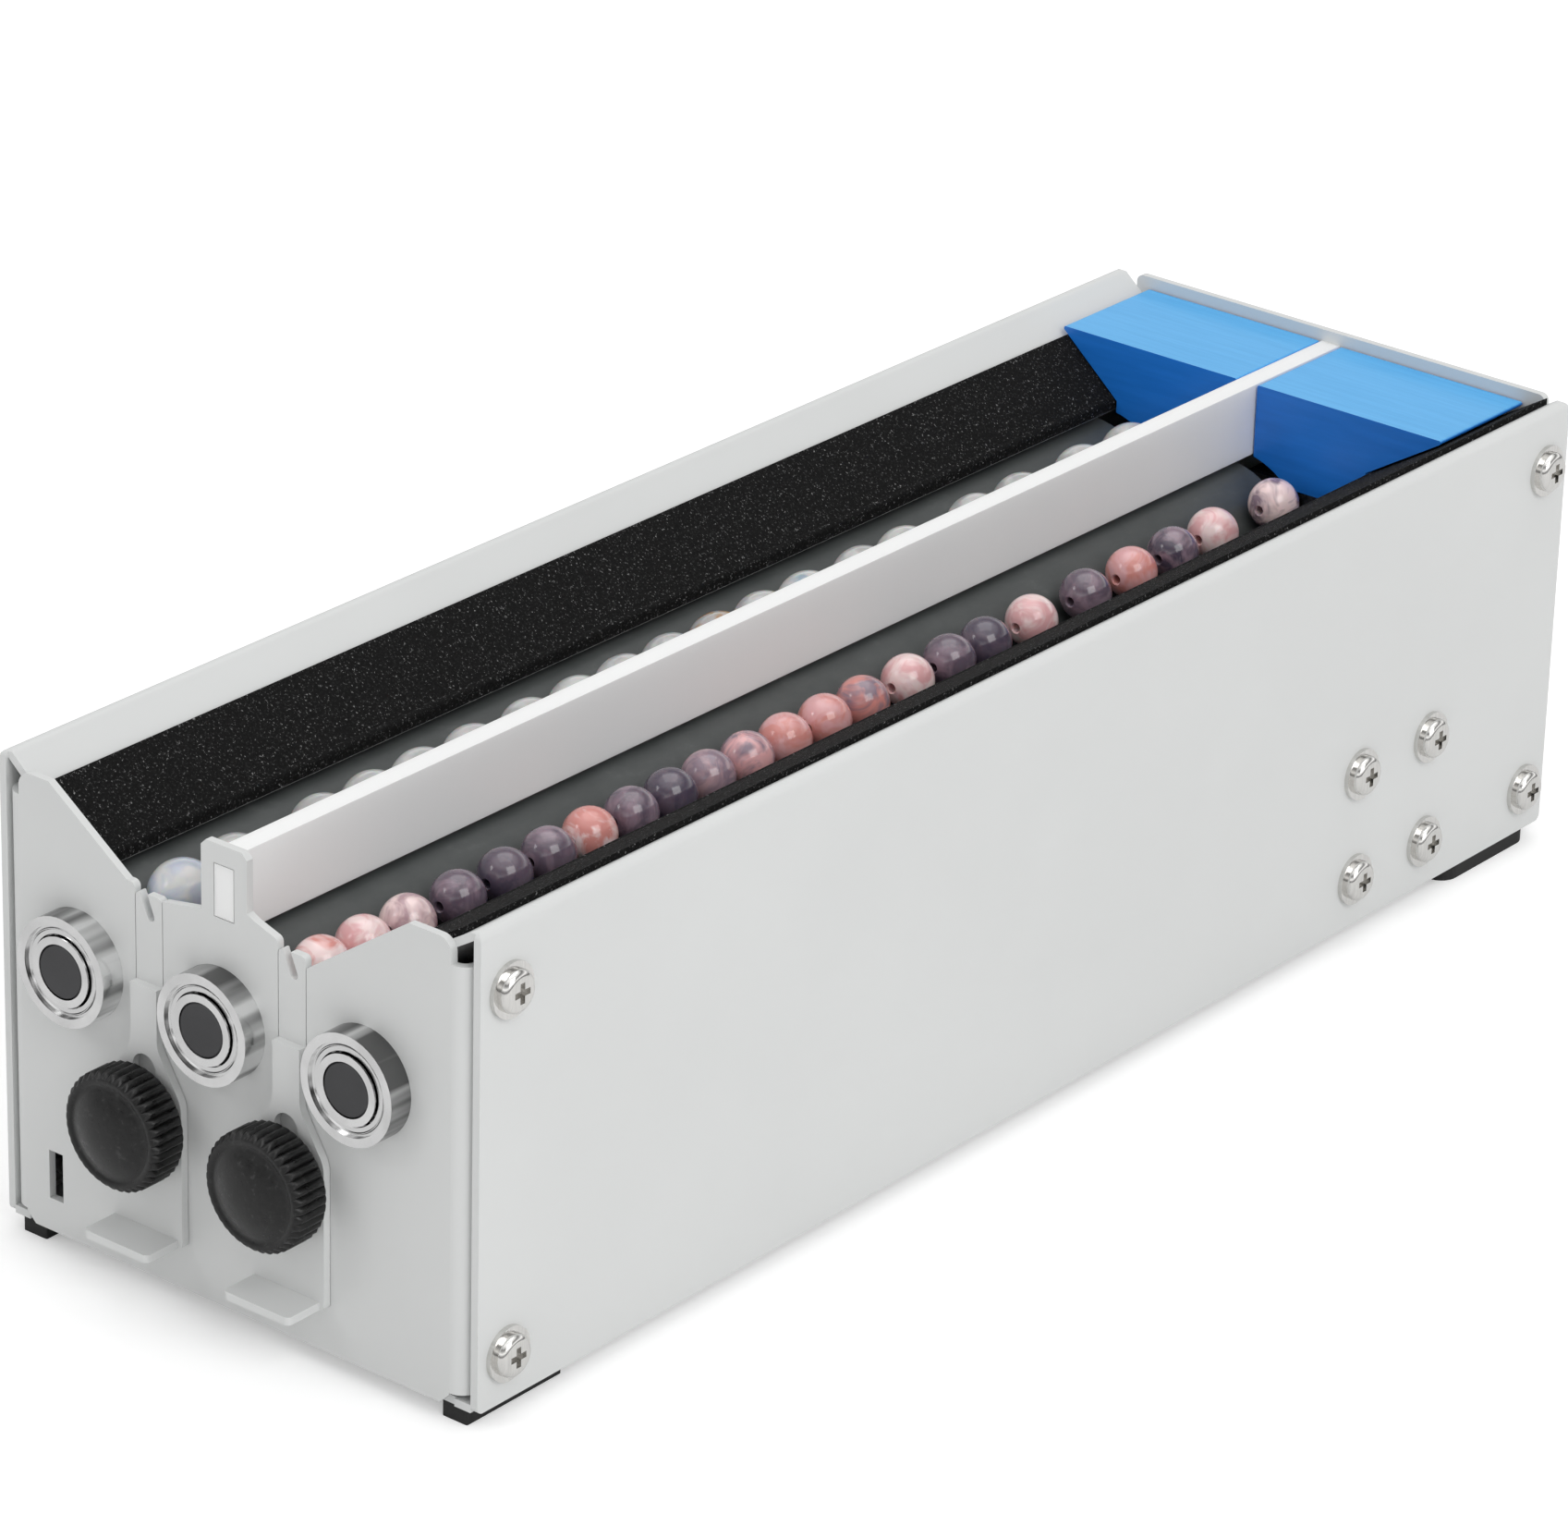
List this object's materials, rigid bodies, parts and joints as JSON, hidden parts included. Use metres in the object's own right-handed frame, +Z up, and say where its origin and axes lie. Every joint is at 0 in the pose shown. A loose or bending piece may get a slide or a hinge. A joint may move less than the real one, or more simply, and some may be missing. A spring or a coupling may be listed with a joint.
{
  "type": "electric bead spinner",
  "caption": "Long metal case with three driven rollers under two open troughs that spin drilled beads while a needle held in a front slide picks them up.",
  "frame": {"origin": "centre of the whole outline in plan, on the plane that the feet stand on", "axes": "+Y runs along the case from the slides to the rear controls, +Z is up, +X is to the right when the slides are faced"},
  "size_m": [0.0904, 0.2712, 0.0725],
  "materials": {
    "powder_coat": "satin powder coat, light grey",
    "steel": "bright nickel plate",
    "bearing_steel": "polished steel",
    "spindle_steel": "turned, dark oiled",
    "roller_rubber": "ground smooth, matte",
    "foam": "fine open-cell foam",
    "divider_plastic": "satin, slightly translucent",
    "block_plastic": "moulded, satin gloss",
    "knob_plastic": "ribbed, satin black",
    "foot_rubber": "matte black",
    "black_plastic": "satin black",
    "belt_rubber": "matte black",
    "pulley_aluminium": "turned",
    "motor_steel": "zinc plate",
    "brass": "bright",
    "board": "solder mask",
    "bead_mauve": "drilled, polished",
    "core_aluminium": "turned, dark anodised",
    "bead_white": "drilled, polished"
  },
  "bodies": {
    "case": {"base_plate": "powder_coat", "bearing_balls": "bearing_steel", "bearing_outer_rings": "bearing_steel", "bearing_shields": "bearing_steel", "board_parts": "black_plastic", "board_posts": "steel", "bracket_screws": "steel", "control_board": "board", "corner_nuts": "steel", "corner_screws": "steel", "divider": "divider_plastic", "drive_belt": "belt_rubber", "feet": "foot_rubber", "front_plate": "powder_coat", "inlet_pin": "brass", "left_belt": "belt_rubber", "left_clamp_nut": "steel", "left_foam": "foam", "left_panel": "powder_coat", "motor_bracket": "motor_steel", "motor_can": "motor_steel", "motor_gearbox": "motor_steel", "motor_terminals": "brass", "power_inlet": "black_plastic", "rear_plate": "powder_coat", "right_belt": "belt_rubber", "right_clamp_nut": "steel", "right_foam": "foam", "right_panel": "powder_coat", "small_screws": "steel", "speed_control": "black_plastic", "speed_control_nut": "steel", "switch_body": "black_plastic"},
    "left_roller": {"left_roller_core": "core_aluminium", "left_roller_sleeve": "roller_rubber", "left_inner_rings": "bearing_steel", "left_roller_pulley": "pulley_aluminium"},
    "middle_roller": {"middle_roller_core": "core_aluminium", "middle_roller_sleeve": "roller_rubber", "middle_inner_rings": "bearing_steel", "middle_roller_pulley": "pulley_aluminium"},
    "right_roller": {"right_roller_core": "core_aluminium", "right_roller_sleeve": "roller_rubber", "right_inner_rings": "bearing_steel", "right_roller_pulley": "pulley_aluminium"},
    "motor_output": {"motor_shaft": "spindle_steel", "motor_pulley": "brass"},
    "left_slide": {"left_slide": "steel"},
    "right_slide": {"right_slide": "steel"},
    "left_knob": {"left_knob": "knob_plastic"},
    "right_knob": {"right_knob": "knob_plastic"},
    "left_block": {"left_block": "block_plastic"},
    "right_block": {"right_block": "block_plastic"},
    "switch_rocker": {"switch_rocker": "black_plastic"},
    "speed_knob": {"speed_knob": "black_plastic"},
    "left_bead_row": {"left_beads": "bead_white"},
    "right_bead_row": {"right_beads": "bead_mauve"}
  },
  "joints": [
    {"name": "middle_roller_spin", "type": "hinge", "parent": "case", "child": "middle_roller", "pos_m": [-0.0019, 0, 0.0457], "axis": [0, 1, 0], "continuous": true},
    {"name": "left_roller_spin", "type": "hinge", "parent": "case", "child": "left_roller", "pos_m": [-0.0277, 0, 0.0457], "axis": [0, 1, 0], "continuous": true},
    {"name": "right_roller_spin", "type": "hinge", "parent": "case", "child": "right_roller", "pos_m": [0.0239, 0, 0.0457], "axis": [0, 1, 0], "continuous": true},
    {"name": "motor_spin", "type": "hinge", "parent": "case", "child": "motor_output", "pos_m": [0.0268, 0.1, 0.019], "axis": [0, 1, 0], "continuous": true},
    {"name": "left_bead_spin", "type": "hinge", "parent": "case", "child": "left_bead_row", "pos_m": [-0.0148, 0, 0.05782], "axis": [0, 1, 0], "continuous": true},
    {"name": "right_bead_spin", "type": "hinge", "parent": "case", "child": "right_bead_row", "pos_m": [0.011, 0, 0.05631], "axis": [0, 1, 0], "continuous": true},
    {"name": "left_slide_travel", "type": "slide", "parent": "case", "child": "left_slide", "axis": [0, 0, 1], "range_m": [-0.004, 0.003]},
    {"name": "left_knob_turn", "type": "hinge", "parent": "case", "child": "left_knob", "pos_m": [-0.0148, -0.126, 0.0275], "axis": [0, 1, 0], "range_deg": [-90, 30]},
    {"name": "right_slide_travel", "type": "slide", "parent": "case", "child": "right_slide", "axis": [0, 0, 1], "range_m": [-0.004, 0.003]},
    {"name": "right_knob_turn", "type": "hinge", "parent": "case", "child": "right_knob", "pos_m": [0.011, -0.126, 0.0275], "axis": [0, 1, 0], "range_deg": [-90, 30]},
    {"name": "left_block_lift", "type": "slide", "parent": "case", "child": "left_block", "axis": [0, 0, 1], "range_m": [0, 0.03]},
    {"name": "right_block_lift", "type": "slide", "parent": "case", "child": "right_block", "axis": [0, 0, 1], "range_m": [0, 0.03]},
    {"name": "switch_tip", "type": "hinge", "parent": "case", "child": "switch_rocker", "pos_m": [-0.007, 0.1237, 0.0175], "axis": [0, 0, 1], "range_deg": [-12, 0]},
    {"name": "speed_turn", "type": "hinge", "parent": "case", "child": "speed_knob", "pos_m": [0.013, 0.13, 0.0175], "axis": [0, 1, 0], "range_deg": [-140, 140]}
  ],
  "couplings": [
    {"joint": "left_roller_spin", "follows": "middle_roller_spin", "ratio": 1},
    {"joint": "right_roller_spin", "follows": "middle_roller_spin", "ratio": 1},
    {"joint": "motor_spin", "follows": "middle_roller_spin", "ratio": 1.25},
    {"joint": "left_bead_spin", "follows": "middle_roller_spin", "ratio": -2.5},
    {"joint": "right_bead_spin", "follows": "middle_roller_spin", "ratio": -3.125}
  ]
}
